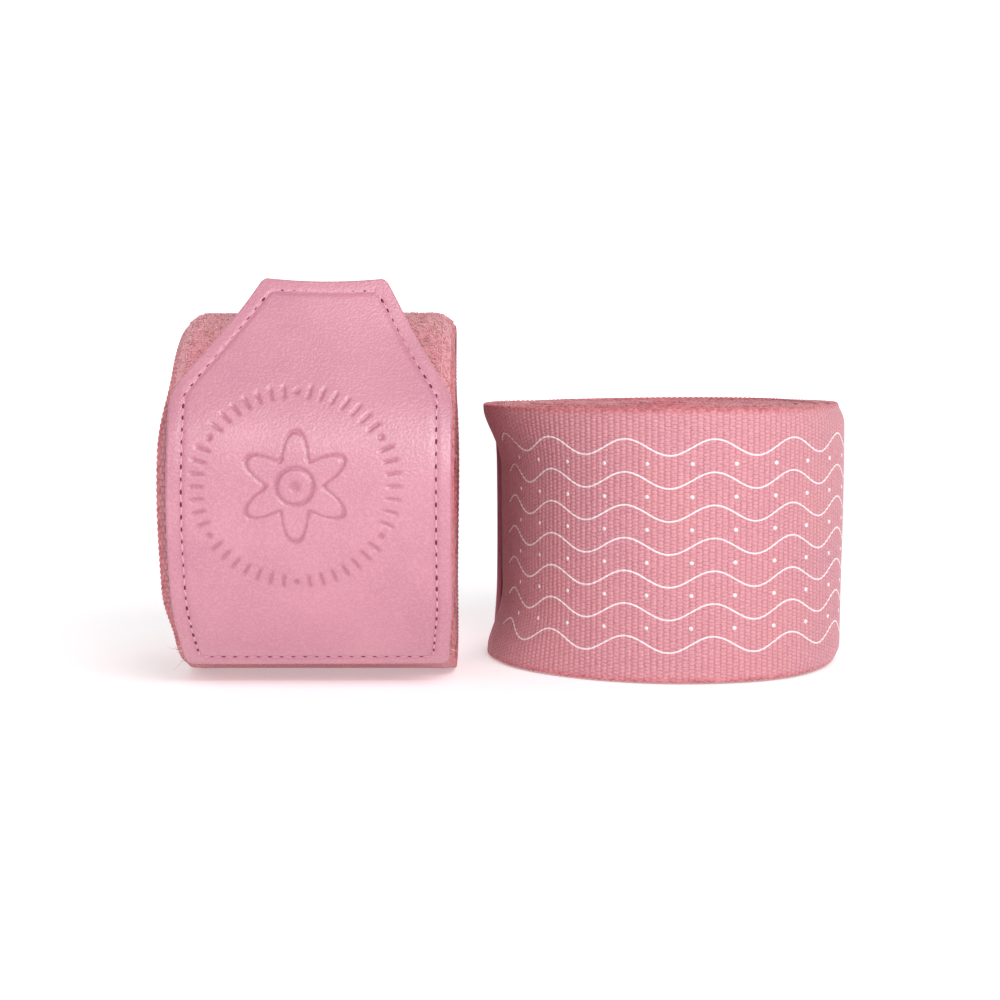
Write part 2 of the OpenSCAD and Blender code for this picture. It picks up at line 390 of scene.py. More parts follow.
def band_face(side, x, s, over, seed, slip_size):
    """A place on the band's outer face, x across it and s along it, this far over its weave."""
    slip, teeth = edge_wander(s, seed, slip_size)
    slip = slip + lap_slip(side, s)
    at_edge = smooth(np.abs(x), BAND_W / 2 - 1.2, BAND_W / 2 - 0.2)
    wide = x + slip + np.sign(x) * at_edge * (teeth - 0.1)
    if side == "right":
        # this roll stands on its lower edge, which is flush with the surface
        wide = np.maximum(wide, -BAND_W / 2)
    point, normal = BAND_PATH.at(s)
    yz = point + normal * (over + lap_flare(side, s, x))[..., None]
    return joined(wide, yz)


def band_mesh(name, side, start, end, samples, across_step, slip_size, seed):
    s = np.arange(start, end, RIB / samples)
    section = band_section(across_step)
    x, h, ribbed = (section[:, i][None] for i in range(3))
    s2 = s[:, None]
    at_edge = smooth(np.abs(x), BAND_W / 2 - 1.2, BAND_W / 2 - 0.2)
    height = h * BAND_T + ribbed * (rib_height(s2, x, seed) - 0.5 * RIB_H)
    x_all, s_all = np.broadcast_to(x, height.shape), np.broadcast_to(s2, height.shape)
    verts = band_face(side, x_all, s_all, height, seed, slip_size)
    rows, columns = verts.shape[:2]
    uv = cloth_uv(s2, x)
    # how deep a point lies between two ribs: the mask of the band's painted shade in its valleys
    valley = np.broadcast_to(ribbed * (1 - np.abs(np.cos(np.pi * s2 / RIB))), (rows, columns))
    rim = np.broadcast_to(at_edge, (rows, columns))
    faces = [grid_faces(rows, columns, True), end_caps(rows, columns)]
    obj = make_mesh(name, placed(side, verts), faces, uv=uv, values={"valley": valley, "rim": rim})
    return outward(obj)


# ---- the leather closure
CLOSURE_PATH = closure_path()
TAPER_A = math.atan2((CLOSURE_W - TIP_W) / 2, TAPER_LEN)
EMBLEM_S = CLOSURE_R * math.radians(-FOLD_A + 5.5)
EMBLEM_X = -2.4
RING_R, PETAL_R, EYE_R = 17.2, 7.4, 3.2     # of the pressed ring, the rosette and its middle
RING_MARKS, RING_GROUP = 48, 8              # dashes and dots in the ring, with one dot in each group
ASIDE = {"left": 0.9, "right": -0.2}    # how far off the band's middle the leather was sewn on
LEAN = 1.6                              # and how far its tip leans


def outline(margin):
    """Corners of a line inside the closure's edge, as x and distance from the fold, right side up."""
    side, tip = CLOSURE_W / 2 - margin, TIP_W / 2 - margin * math.tan((math.pi / 2 - TAPER_A) / 2)
    corner = TAPER_S - margin * math.tan(TAPER_A / 2)
    return [(ROOT_W / 2 - margin, margin - BASE_LEN), (side, 0.0), (side, corner), (tip, FLAP_LEN - margin)]


def half_width(s, margin=0.0):
    """Half the closure's width at s, with its corners rounded."""
    root, fold, corner, tip = outline(margin)
    width = np.interp(s, [root[1], fold[1], corner[1], tip[1]], [root[0], fold[0], corner[0], tip[0]])
    # the tapered sides bow in a little, and the shoulders are soft
    bow = np.clip((s - corner[1]) / (tip[1] - corner[1]), 0, 1)
    width = width - 0.55 * np.sin(np.pi * bow) - 0.35 * np.exp(-((s - corner[1]) / 1.6) ** 2)
    for end, r in ((tip[1], 1.2), (root[1], 2.0)):
        run = np.clip(r - np.abs(s - end), 0, r)
        width = width - (r - np.sqrt(r * r - run * run)) * 0.85
    return width


def closure_point(side, x, s, h):
    """A place h over the closure's outer face, x across it and s from the fold."""
    point, normal = CLOSURE_PATH.at(s + BASE_LEN)
    free = smooth(s, ARC_LEN - 4, FLAP_LEN)
    x = x + ASIDE[side] + LEAN * smooth(s, TAPER_S - 2, FLAP_LEN)
    # a soft sheet: slight waves, and sides that curl in where the flap stands free
    wave = wander2(x, s, side_seed(21, side), 46) * (0.12 + 0.35 * free)
    curl = -0.9 * free * (np.abs(x) / 11) ** 2 * 0.25
    return joined(x, point + normal * (h + wave + curl)[..., None])


def groove(distance, width):
    """1 along the middle of a pressed line, and 0 outside it."""
    return 1 - smooth(np.abs(distance), width * 0.25, width * 0.62)


def emblem(x, s):
    """A plain pressed mark: a ring of dashes and dots round a six-petalled rosette."""
    x, y = x - EMBLEM_X, s - EMBLEM_S
    radius, angle = np.hypot(x, y), np.degrees(np.arctan2(x, y))
    place = (angle / 360 * RING_MARKS) % RING_GROUP
    slot = np.round(place)
    aside = (place - slot) * 2 * np.pi * RING_R / RING_MARKS
    dash = groove(aside, 0.75) * groove(radius - RING_R, 2.9) * (slot % RING_GROUP > 0)
    dot = groove(np.hypot(aside, radius - RING_R), 1.3) * (slot % RING_GROUP == 0)
    petal = PETAL_R + 2.3 * np.cos(np.radians(angle * 6))
    rings = [groove(radius - petal, 1.0), groove(radius - EYE_R, 0.9), 0.8 * groove(radius, 2.2)]
    return np.maximum.reduce([dash, dot, *rings])


def stitch_places(part):
    """Each stitch's middle, as x and distance from the fold, its direction and its pitch."""
    root, fold, corner, tip = outline(STITCH_INSET)
    lines = {
        "base": [((-root[0], root[1]), root), (root, fold), ((-root[0], root[1]), (-fold[0], fold[1]))],
        "flap": [(fold, corner), (corner, tip), ((-fold[0], fold[1]), (-corner[0], corner[1])),
                 ((-corner[0], corner[1]), (-tip[0], tip[1])), ((-tip[0], tip[1]), tip)],
    }[part]
    for start, end in lines:
        start, end = np.array(start), np.array(end)
        count = max(round(np.linalg.norm(end - start) / STITCH), 1)
        for i in range(count):
            place = start + (end - start) * (i + 0.5) / count
            yield place, math.atan2(*(end - start)), np.linalg.norm(end - start) / count


def stitch_valley(x, s):
    """How deep the sewing pulls the leather in beside its rows. The leather's colour is also darkened
    there, as painted shade.
    """
    inner = half_width(s, STITCH_INSET)
    root, _, _, tip = outline(STITCH_INSET)
    side = np.abs(np.abs(x) - inner)
    ends = np.where(np.abs(x) < inner, np.minimum(np.abs(s - root[1]), np.abs(s - tip[1])), 9.0)
    inside = (s > root[1]) & (s < tip[1])
    return np.exp(-(np.minimum(np.where(inside, side, 9.0), ends) / 0.55) ** 2)


def leather_rows():
    """Distances from the fold of the leather's rows: close where the mark is, closer at both ends."""
    fine = np.arange(EMBLEM_S - 19, EMBLEM_S + 19, 0.26)
    low = np.linspace(-BASE_LEN, fine[0], 64)[:-1]
    high = np.linspace(fine[-1], FLAP_LEN, 70)[1:]
    rows = np.concatenate([low, fine, high])
    ends = [0.05, 0.12, 0.22, 0.35]
    extra = [FLAP_LEN - e for e in ends] + [e - BASE_LEN for e in ends]
    return np.unique(np.concatenate([rows, extra]))


def sheet_shell(side, rows, columns, top, bottom, margin=0.0, edge_r=0.4, relief=None):
    """A closed sheet between two heights over the closure's outer face, with rounded edges."""
    s, t = rows[:, None], columns[None, :]
    half = half_width(rows, margin)[:, None]
    x = half * t
    end = np.minimum(np.abs(s - rows[0]), np.abs(rows[-1] - s))
    rim = np.minimum(half * (1 - np.abs(t)), end)
    drop = edge_r - np.sqrt(np.maximum(edge_r ** 2 - np.clip(edge_r - rim, 0, edge_r) ** 2, 0))
    h = top - drop + (relief(x, s) if relief else 0)
    # the tip's end is cut slightly hollow
    hollow = -0.7 * smooth(s, FLAP_LEN - 9, FLAP_LEN) * (1 - (x / (TIP_W / 2)) ** 2).clip(0, 1)
    s_cut = s + hollow
    over = closure_point(side, x, s_cut, h)
    under = closure_point(side, x, s_cut, np.broadcast_to(bottom + 0.35 * drop, x.shape))
    rows_n, columns_n = x.shape
    n = rows_n * columns_n
    faces = grid_faces(rows_n, columns_n)
    border = np.concatenate([
        np.arange(columns_n),
        np.arange(1, rows_n) * columns_n + columns_n - 1,
        (rows_n - 1) * columns_n + np.arange(columns_n - 1)[::-1],
        np.arange(1, rows_n - 1)[::-1] * columns_n,
    ])
    nxt = np.roll(border, -1)
    wall = np.stack([border, border + n, nxt + n, nxt], 1)
    verts = np.concatenate([over.reshape(-1, 3), under.reshape(-1, 3)])
    uv = np.tile(cloth_uv(s, x), (2, 1))
    return verts, [faces, faces[:, ::-1] + n, wall], uv, rim, x


def leather_columns():
    """Places across the leather, as shares of its half width: close at both edges."""
    edge = [0.0, 0.002, 0.005, 0.009, 0.015]
    inner = np.linspace(0.024, 1, 86)
    right = np.concatenate([1 - np.array(edge), 1 - inner])
    return np.unique(np.concatenate([-right, right]))


def leather_mesh(side):
    rows, columns = leather_rows(), leather_columns()

    def relief(x, s):
        return -0.27 * emblem(x, s) - 0.16 * stitch_valley(x, s)

    verts, faces, uv, rim, x = sheet_shell(side, rows, columns, 0.0, -LEATHER_T, relief=relief)
    s = np.broadcast_to(rows[:, None], x.shape)
    pressed = np.concatenate([emblem(x, s).ravel(), np.zeros(x.size)])
    edge = np.concatenate([(1 - smooth(rim, 0.0, 0.55)).ravel(), np.full(x.size, 0.4)])
    # painted shade: the grooves beside the stitch rows are darkened in the leather's colour
    stitch_groove_shade = np.concatenate([stitch_valley(x, s).ravel(), np.zeros(x.size)])
    under = np.concatenate([np.zeros(x.size), np.ones(x.size)])
    obj = make_mesh(f"{side}_closure_leather", placed(side, verts), faces, uv=uv,
                    values={"pressed": pressed, "rim": edge, "sewn": stitch_groove_shade, "under": under})
    return outward(obj)


def stitch_mesh(side, part):
    """The closure's thread, and at each stitch's end a shallow pit in a dark colour: painted shade of the
    needle hole.
    """
    thread, hole_shade_pits = Bunch(), Bunch()
    rng = np.random.default_rng(side_seed(31, side))
    for place, turn, length in stitch_places(part):
        along = np.array([math.sin(turn), math.cos(turn)])
        lean = rng.normal(0, 0.05)
        line = np.linspace(-0.5, 0.5, 7)
        xs = place[0] + along[0] * line * length * 0.66 + along[1] * lean * line * 4
        ss = place[1] + along[1] * line * length * 0.66 - along[0] * lean * line * 4
        rise = 0.16 * np.cos(np.pi * line) - 0.33
        thread.tubes(side, closure_point(side, xs, ss, rise), 0.19, 6, rng.uniform(0, 1))
        # a needle slot at the stitch's lower end, a shallow pit whose dark colour is painted shade
        hole = place - along * length / 2
        a = np.linspace(0, 2 * np.pi, 11)[:-1]
        size = rng.uniform(0.6, 1.05) * (0.7 if abs(along[0]) > 0.9 else 1.0)
        for_x = np.cos(a) * 0.19 * size
        for_s = np.sin(a) * 0.48 * size
        ring_x = hole[0] + along[0] * for_s + along[1] * for_x
        ring_s = hole[1] + along[1] * for_s - along[0] * for_x
        rim_ring = closure_point(side, ring_x, ring_s, np.full(10, -0.08))
        floor_ring = closure_point(side, hole[0] + (ring_x - hole[0]) * 0.6,
                                   hole[1] + (ring_s - hole[1]) * 0.6, np.full(10, -0.3))
        faces = grid_faces(2, 10, True).tolist() + end_caps(2, 10)
        hole_shade_pits.add(placed(side, np.concatenate([rim_ring, floor_ring])), faces)
    return (thread.build(f"{side}_{part}_stitches"),
            outward(hole_shade_pits.build(f"{side}_{part}_needle_slot_shade")))


# ---- strips of cloth
def strip_mesh(name, side, path, s, width, thick, across_step, relief=None, layers=0, closed=False,
               aside=0.0):
    """A closed ribbon with round edges over a path. relief(s, x) adds height, layers bulge its edges."""
    r = min(thick / 2, 0.5)
    flat = width / 2 - r
    count = max(int(2 * flat / across_step), 2)
    if layers:
        heights = np.linspace(1, 0, 6 * layers + 1)
        edge = [(flat + r + 0.22 * abs(math.sin(math.pi * layers * h)), h) for h in heights]
    else:
        turn = np.radians(np.linspace(75, -75, 7))
        edge = [(flat + r * math.cos(a), 0.5 + 0.5 * math.sin(a)) for a in turn]
    section = ([(x, 1.0, 1.0) for x in np.linspace(-flat, flat, count)]
               + [(x, h, h) for x, h in edge] + [(flat, 0.0, 0.0), (-flat, 0.0, 0.0)]
               + [(-x, h, h) for x, h in edge[::-1]])
    section = np.array(section)
    x, h, top = (section[:, i][None] for i in range(3))
    s2 = s[:, None]
    height = h * thick + (top * relief(s2, x) if relief else 0)
    point, normal = path.at(s)
    yz = point[:, None] + normal[:, None] * height[..., None]
    verts = joined(np.broadcast_to(x + aside, height.shape), yz)
    rows, columns = verts.shape[:2]
    faces = [grid_faces(rows, columns, True)]
    if closed:
        j = np.arange(columns)
        last = (rows - 1) * columns
        faces.append(np.stack([last + j, last + (j + 1) % columns, (j + 1) % columns, j], 1))
    else:
        faces.append(end_caps(rows, columns))
    uv = cloth_uv(s2, x)
    obj = make_mesh(name, placed(side, verts), faces, uv=uv)
    return outward(obj)


PILE_PATH = Path(*[np.concatenate(parts) for parts in zip(
    arc(-HALF_FLAT, 0, FRONT_R, 180 - PILE_START_A, 90),
    flat_run(FRONT_R, -HALF_FLAT, HALF_FLAT, 1),
    arc(HALF_FLAT, -PITCH / 2, FRONT_R + PITCH / 2, 90, 90 - PILE_OVER_A))])
PILE_BASE = 0.75     # thickness of the pile strip under its fuzz
PILE_ASIDE = {"left": 0.7, "right": 0.0}    # how far off the band's middle it was sewn on
PILE_HALF = PILE_W / 2 + 0.6                # half its width with its brushed edges


def pile_droop(x):
    """How far the pile's edges bend down."""
    return 0.5 * smooth(np.abs(x), PILE_HALF - 2.2, PILE_HALF) ** 2


def pile_relief(seed):
    def relief(s, x):
        broad, fine = wander2(s, x, seed, 3.2), wander2(s, x, seed + 1, 1.1)
        return 0.1 * broad + 0.07 * fine - pile_droop(x)
    return relief


def pile_mesh(side):
    s = np.linspace(0, PILE_PATH.length, 190)
    return strip_mesh(f"{side}_loop_pile_strip", side, PILE_PATH, s, 2 * PILE_HALF, PILE_BASE, 0.42,
                      pile_relief(side_seed(41, side)), aside=PILE_ASIDE[side])


def pile_fuzz(side, count=15000):
    """The brushed loops that stand on the pile strip."""
    rng = np.random.default_rng(side_seed(43, side))
    s = rng.uniform(0.2, PILE_PATH.length - 0.2, count)
    x = rng.uniform(-PILE_HALF, PILE_HALF, count)
    point, normal = PILE_PATH.at(s)
    tangent = np.stack([normal[:, 1], -normal[:, 0]], -1)
    lean, turn = rng.uniform(0.2, 0.65, count), rng.uniform(0, 2 * np.pi, count)
    tall = rng.uniform(0.3, 0.72, count)
    run = np.array([0.0, 0.35, 0.7, 1.0])
    high = np.sin(run * 2.3)[None] * tall[:, None]
    aside = (run ** 1.3)[None] * lean[:, None]
    over = (PILE_BASE - 0.12 + high - pile_droop(x)[:, None])[..., None]
    yz = (point[:, None] + normal[:, None] * over
          + tangent[:, None] * (aside * np.sin(turn)[:, None])[..., None])
    xs = x[:, None] + aside * np.cos(turn)[:, None] + PILE_ASIDE[side]
    fuzz = Bunch()
    fuzz.tubes(side, joined(xs, yz), [0.07, 0.07, 0.06, 0.03], 3, rng.uniform(0, 1, count))
    return fuzz.build(f"{side}_pile_fuzz")


def pile_stitch_mesh(side):
    """The two rows that sew the pile strip to the band, sunk in its fuzz."""
    thread = Bunch()
    for row in (-1, 1):
        s = np.arange(1.5, PILE_PATH.length - 1.5, 2.6)
        run = np.linspace(-0.5, 0.5, 5)[None]
        at = s[:, None] + run * 2.0
        point, normal = PILE_PATH.at(at)
        yz = point + normal * (PILE_BASE - 0.12 + 0.3 * np.cos(np.pi * run))[..., None]
        x = np.full(at.shape, row * (PILE_W / 2 - 0.9) + PILE_ASIDE[side])
        thread.tubes(side, joined(x, yz), 0.16, 5, 0.5)
    return thread.build(f"{side}_pile_stitches")


def hem_mesh(side):
    """The band's end, folded under the closure's base."""
    bend_pts, normals = arc(-HALF_FLAT, 0, LAP_R + 0.05, 180 - ROOT_A - 3, 180 - FOLD_A + 0.2)
    path = Path(bend_pts, normals)
    s = np.linspace(0, path.length, 46)

    def relief(s, x):
        return 0.05 * np.abs(np.cos(np.pi * s / RIB)) - 0.06

    return strip_mesh(f"{side}_folded_hem", side, path, s, ROOT_W - 2.4, LEATHER_R - LAP_R - 0.1,
                      0.8, relief, layers=3)


def thumb_loop_mesh(side):
    """The flattened loop in the core: two layers of webbing that turn into each other at both ends."""
    middle = LOOP_BEND_R + LOOP_T / 2
    outer = middle + LOOP_T + LOOP_GAP

    def layer(r):
        wind = wound(r, LOOP_PITCH, 0, 1, 90)
        top, _ = flat_run(r + LOOP_PITCH, -HALF_FLAT, HALF_FLAT, 1)
        return np.concatenate([wind.p, top])

    def turn(y, z, start, end):
        return arc(y, z, (LOOP_T + LOOP_GAP) / 2, start, end)[0]

    half = (middle + outer) / 2
    line = np.concatenate([
        layer(middle), turn(HALF_FLAT, half + LOOP_PITCH, -90, 90)[1:-1],
        layer(outer)[::-1], turn(-HALF_FLAT, -half, -90, 90)[1:-1]])
    tangent = np.roll(line, -1, 0) - np.roll(line, 1, 0)
    tangent /= np.linalg.norm(tangent, axis=1, keepdims=True)
    path = Path(line, np.stack([-tangent[:, 1], tangent[:, 0]], -1))
    s = np.arange(0, path.length - 0.15, 0.4)

    def relief(s, x):
        return 0.05 * np.cos(2 * np.pi * s / 0.8) * np.cos(2 * np.pi * x / 1.2)

    return strip_mesh(f"{side}_thumb_loop_webbing", side, path.moved(-LOOP_T / 2), s, LOOP_W, LOOP_T,
                      0.6, relief, closed=True), path.length


# ---- inside the flap
HOOK_BASE = 0.4      # thickness of the hook strip's own tape
HOOK_START = CLOSURE_R * math.radians(HOOK_START_A - FOLD_A)


def flap_layer(name, side, start, margin, columns, top, bottom):
    """A thin layer behind the leather, from this far past the fold to the tip."""
    rows = np.linspace(start, FLAP_LEN - margin, int((FLAP_LEN - margin - start) / 0.8))
    verts, faces, uv, _, _ = sheet_shell(side, rows, np.linspace(-1, 1, columns), top, bottom, margin, 0.12)
    return outward(make_mesh(name, placed(side, verts), faces, uv=uv))


def lining_mesh(side):
    return flap_layer(f"{side}_flap_lining_cloth", side, 0.4, LINING_MARGIN, 61,
                      -LEATHER_T - 0.02, -LEATHER_T - LINING_T)


def hook_mesh(side):
    top = -LEATHER_T - LINING_T
    return flap_layer(f"{side}_hook_tape", side, HOOK_START, HOOK_MARGIN, 53, top - 0.02, top - HOOK_BASE)


def hook_field(side):
    """Rows of small bent hooks on the tape, each row turned against the next."""
    pitch_s, pitch_x = 1.25, 1.1
    places = []
    for i, s in enumerate(np.arange(HOOK_START + 0.8, FLAP_LEN - HOOK_MARGIN - 0.8, pitch_s)):
        half = float(half_width(np.array([s]), HOOK_MARGIN)[0]) - 0.8
        shift = pitch_x / 2 * (i % 2)
        for x in np.arange(-half + shift, half, pitch_x):
            places.append((x, s, 1 if i % 2 else -1))
    x, s, facing = np.array(places).T
    run = np.linspace(0, 1, 6)[None]
    depth = -(LEATHER_T + LINING_T + HOOK_BASE - 0.05) - 0.58 * np.sin(run * 2.35)
    along = facing[:, None] * 0.42 * (1 - np.cos(run * 2.35)) * 0.6
    points = closure_point(side, np.repeat(x[:, None], 6, 1), s[:, None] + along,
                           np.broadcast_to(depth, (len(x), 6)))
    hooks = Bunch()
    hooks.tubes(side, points, [0.12, 0.11, 0.1, 0.1, 0.09, 0.06], 4, 0.5)
    return hooks.build(f"{side}_hooks")


# ---- loose ends
def fray_mesh(side):
    """Fine loose threads where the band was cut, at the closure's base and at its lower corners."""
    rng = np.random.default_rng(side_seed(51, side))
    lines = []
    places = [(1, -49, 26), (-1, -50, 12), (1, -38, 10)]
    for end, angle, count in places:
        for _ in range(count):
            x = end * rng.uniform(ROOT_W / 2 - 2.5, ROOT_W / 2 + 0.4)
            a = math.radians(180 - angle + rng.normal(0, 2.6))
            r = rng.uniform(LAP_R + 0.4, LEATHER_R - 0.2)
            start = np.array([x, -HALF_FLAT + r * math.cos(a), r * math.sin(a)])
            way = np.array([end * rng.uniform(0.5, 1.3), rng.normal(-0.1, 0.25), rng.normal(-0.25, 0.45)])
            bend = rng.normal(0, 0.5, 3)
            long = rng.uniform(0.7, 2.3)
            run = np.linspace(0, 1, 7)[:, None]
            line = start + way * run * long + bend * run ** 2 * long * 0.6
            # no thread goes under the surface that the rolls stand on
            down, floor = (0, BAND_W / 2) if side == "right" else (2, LAP_R)
            line[:, down] = np.maximum(line[:, down], 0.4 - floor)
            lines.append(line)
    loose = Bunch()
    loose.tubes(side, lines, [0.07, 0.07, 0.065, 0.06, 0.055, 0.05, 0.03], 4,
                rng.uniform(0, 1, len(lines)))
    return loose.build(f"{side}_frayed_threads")


# ---- the print on the band: level rows of plain even waves, with dots between the rows
FACE_S = (LAST_TURN + math.pi * (FRONT_R - BAND_T) + 2 * HALF_FLAT
          + (FRONT_R - BAND_T) * math.radians(90 + RIGHT_YAW))   # the middle of the print
INK_W = 0.34                                     # width of its lines
PRINT_REACH, PRINT_LOW, PRINT_HIGH = 48, 7, 43   # half its length, and its lowest and highest row
WAVE_LEN, WAVE_H, WAVE_ROWS = 16, 1.5, 7         # one wave's length and height, and how many rows
DOT_R = 0.4


def print_lines():
    """The whole print as lines and dots: distance round the roll, and height over the band's edge."""
    u = np.linspace(-PRINT_REACH, PRINT_REACH, 400)
    rows = np.linspace(PRINT_LOW, PRINT_HIGH, WAVE_ROWS)
    lines = [np.stack([u, row + WAVE_H * np.sin(2 * np.pi * u / WAVE_LEN)], -1) for row in rows]
    # the dots lie halfway between two rows, where the waves cross their middle
    places = np.arange(WAVE_LEN / 2 - PRINT_REACH, PRINT_REACH, WAVE_LEN / 2)
    dots = [(place, height, DOT_R) for height in (rows[1:] + rows[:-1]) / 2 for place in places]
    return lines, dots


def evened(line, step=0.22):
    """A line with its points at even distances."""
    length = np.concatenate([[0], np.cumsum(np.linalg.norm(np.diff(line, axis=0), axis=1))])
    even = np.arange(0, length[-1], step)
    return np.stack([np.interp(even, length, line[:, i]) for i in (0, 1)], -1)


def print_mesh(side, seed, slip_size):
    """The ink: thin flat ribbons that follow the ribs of the weave."""
    ink = Bunch()
    lines, dots = print_lines()

    def lay(u, v, lift):
        s, x = FACE_S - u, v - BAND_W / 2
        return band_face(side, x, s, BAND_T + rib_height(s, x, seed) - 0.5 * RIB_H + lift, seed, slip_size)

    for line in lines:
        line = evened(line)
        way = np.gradient(line, axis=0)
        way /= np.linalg.norm(way, axis=1, keepdims=True) + 1e-9
        off = np.stack([-way[:, 1], way[:, 0]], -1) * INK_W / 2
        rows = [(line - off, 0.0), (line, 0.07), (line + off, 0.0), (line, -0.12)]
        ring = np.stack([lay(p[:, 0], p[:, 1], h) for p, h in rows], 1)
        count = len(line)
        faces = grid_faces(count, 4, True).tolist() + end_caps(count, 4)
        ink.add(placed(side, ring), faces)
    for u, v, r in dots:
        a = np.linspace(0, 2 * np.pi, 9)[:-1]
        ring = [lay(u + r * np.cos(a), v + r * np.sin(a), h) for h in (-0.1, 0.05)]
        faces = grid_faces(2, 8, True).tolist() + end_caps(2, 8)
        ink.add(placed(side, np.concatenate(ring)), faces)
    return outward(ink.build(f"{side}_wave_print"))


# ---- materials
def linear(colour):
    """A colour of 0 to 255 in sRGB, as linear RGBA."""
    values = [c / 255 for c in colour]
    return [c / 12.92 if c <= 0.04045 else ((c + 0.055) / 1.055) ** 2.4 for c in values] + [1.0]


class Look:
    """One procedural material. Its methods add nodes and return the output that is used next."""

    def __init__(self, name, colour, rough=0.6, **sockets):
        self.mat = bpy.data.materials.new(name)
        self.mat.use_nodes = True
        self.tree = self.mat.node_tree
        self.bsdf = self.tree.nodes["Principled BSDF"]
        self.set(self.bsdf, {"Base Color": linear(colour), "Roughness": rough})
        self.set(self.bsdf, {key.replace("_", " "): value for key, value in sockets.items()})
        self.place = self.node("ShaderNodeTexCoord").outputs["Object"]

    def set(self, node, values):
        """Feeds each named socket with a constant or with another node's output."""
        for key, value in values.items():
            if hasattr(value, "links"):
                self.tree.links.new(value, node.inputs[key])
            else:
                node.inputs[key].default_value = value

    def node(self, kind, values=None, **settings):
        made = self.tree.nodes.new(kind)
        for key, value in settings.items():
            setattr(made, key, value)
        self.set(made, values or {})
        return made

    def math(self, operation, a, b=0.0):
        return self.node("ShaderNodeMath", {0: a, 1: b}, operation=operation).outputs[0]

    def times(self, a, b):
        return self.math("MULTIPLY", a, b)

    def noise(self, size_mm, detail=3.0):
        values = {"Vector": self.place, "Scale": 1 / (size_mm * MM), "Detail": detail, "Roughness": 0.55}
        return self.node("ShaderNodeTexNoise", values).outputs[0]

    def spots(self, size_mm):
        values = {"Vector": self.place, "Scale": 1 / (size_mm * MM)}
        return self.node("ShaderNodeTexVoronoi", values).outputs["Distance"]

    def value(self, name):
        return self.node("ShaderNodeAttribute", attribute_name=name).outputs["Fac"]

    def weave(self):
        """Distance along the cloth and across it, in millimetres."""
        uv = self.node("ShaderNodeUVMap", uv_map="weave").outputs[0]
        apart = self.node("ShaderNodeSeparateXYZ", {0: uv})
        return self.times(apart.outputs[0], 10.0), self.times(apart.outputs[1], 10.0)

    def fit(self, value, low, high, to_low=0.0, to_high=1.0):
        names = ("Value", "From Min", "From Max", "To Min", "To Max")
        made = self.node("ShaderNodeMapRange", dict(zip(names, (value, low, high, to_low, to_high))))
        return made.outputs[0]

    def mix(self, share, a, b):
        made = self.node("ShaderNodeMix", data_type="RGBA")
        a, b = (linear(tone) if isinstance(tone, tuple) else tone for tone in (a, b))
        self.set(made, {0: share, 6: a, 7: b})
        return made.outputs[2]

    def colour(self, output):
        self.set(self.bsdf, {"Base Color": output})

    def bump(self, height, distance_mm, strength=1.0):
        values = {"Height": height, "Distance": distance_mm * MM, "Strength": strength}
        bump = self.node("ShaderNodeBump", values)
        self.set(self.bsdf, {"Normal": bump.outputs[0]})


def band_look():
    look = Look("woven_band", (222, 140, 152), 0.72, Sheen_Weight=0.35, Sheen_Roughness=0.45,
                Specular_IOR_Level=0.25)
    look.bsdf.inputs["Sheen Tint"].default_value = linear((255, 224, 228))
    along, across = look.weave()
    # beads along each rib, set off by half a bead from one rib to the next
    row = look.math("FLOOR", look.math("ADD", look.math("DIVIDE", along, RIB), 0.5))
    phase = look.math("ADD", look.math("DIVIDE", across, 0.68), look.times(row, 0.5))
    bead = look.math("ABSOLUTE", look.math("SINE", look.times(phase, math.pi)))
    # painted shade: darker where two beads of a rib meet
    bead_joint_shade = look.fit(bead, 0.0, 0.45, 1.0, 0.0)
    valley, rim = look.value("valley"), look.value("rim")
    # painted shade: darker down in the valleys between the ribs
    rib_valley_shade = look.times(look.fit(valley, 0.35, 1.0), look.fit(bead, 0.0, 0.8, 1.0, 0.55))
    yarn = look.fit(look.noise(0.45), 0.3, 0.7)
    base = look.mix(yarn, (194, 129, 142), (222, 160, 168))
    base = look.mix(look.fit(look.noise(16, 2), 0.35, 0.65), base, look.mix(0.3, base, (222, 150, 148)))
    # painted shade in the bead meetings and in the rib valleys, mixed into the colour
    base = look.mix(look.times(bead_joint_shade, 0.40), base, (158, 82, 98))
    base = look.mix(look.times(rib_valley_shade, 0.60), base, (138, 62, 80))
    edge = look.mix(look.fit(look.noise(0.9, 3), 0.35, 0.65), (172, 76, 86), (220, 134, 138))
    base = look.mix(look.times(rim, 0.8), base, edge)
    look.colour(base)
    height = look.math("ADD", look.times(bead, 0.7), look.times(yarn, 0.35))
    look.bump(height, 0.16, 0.9)
    return look.mat


def leather_look():
    look = Look("pressed_leather", (206, 140, 158), 0.38, Specular_IOR_Level=0.55, Sheen_Weight=0.12,
                Sheen_Roughness=0.4, Coat_Weight=0.3, Coat_Roughness=0.3)
    cells = look.spots(0.42)
    wrinkle = look.noise(0.5, 3)
    grain = look.math("ADD", look.times(cells, 0.9), look.times(wrinkle, 0.6))
    tone = look.fit(look.noise(12, 3), 0.3, 0.7)
    base = look.mix(tone, (187, 122, 139), (198, 133, 149))
    base = look.mix(look.fit(cells, 0.3, 0.8, 0.0, 0.28), base, (226, 160, 180))
    # painted shade in the grooves beside the stitch rows
    base = look.mix(look.times(look.value("sewn"), 0.34), base, (168, 88, 112))
    base = look.mix(look.times(look.value("pressed"), 0.5), base, (160, 78, 104))
    base = look.mix(look.times(look.value("rim"), 0.35), base, (178, 92, 118))
    base = look.mix(look.value("under"), base, (170, 100, 116))
    look.colour(base)
    look.set(look.bsdf, {"Roughness": look.fit(grain, 0.2, 1.0, 0.48, 0.30)})
    look.bump(grain, 0.085, 0.8)
    return look.mat


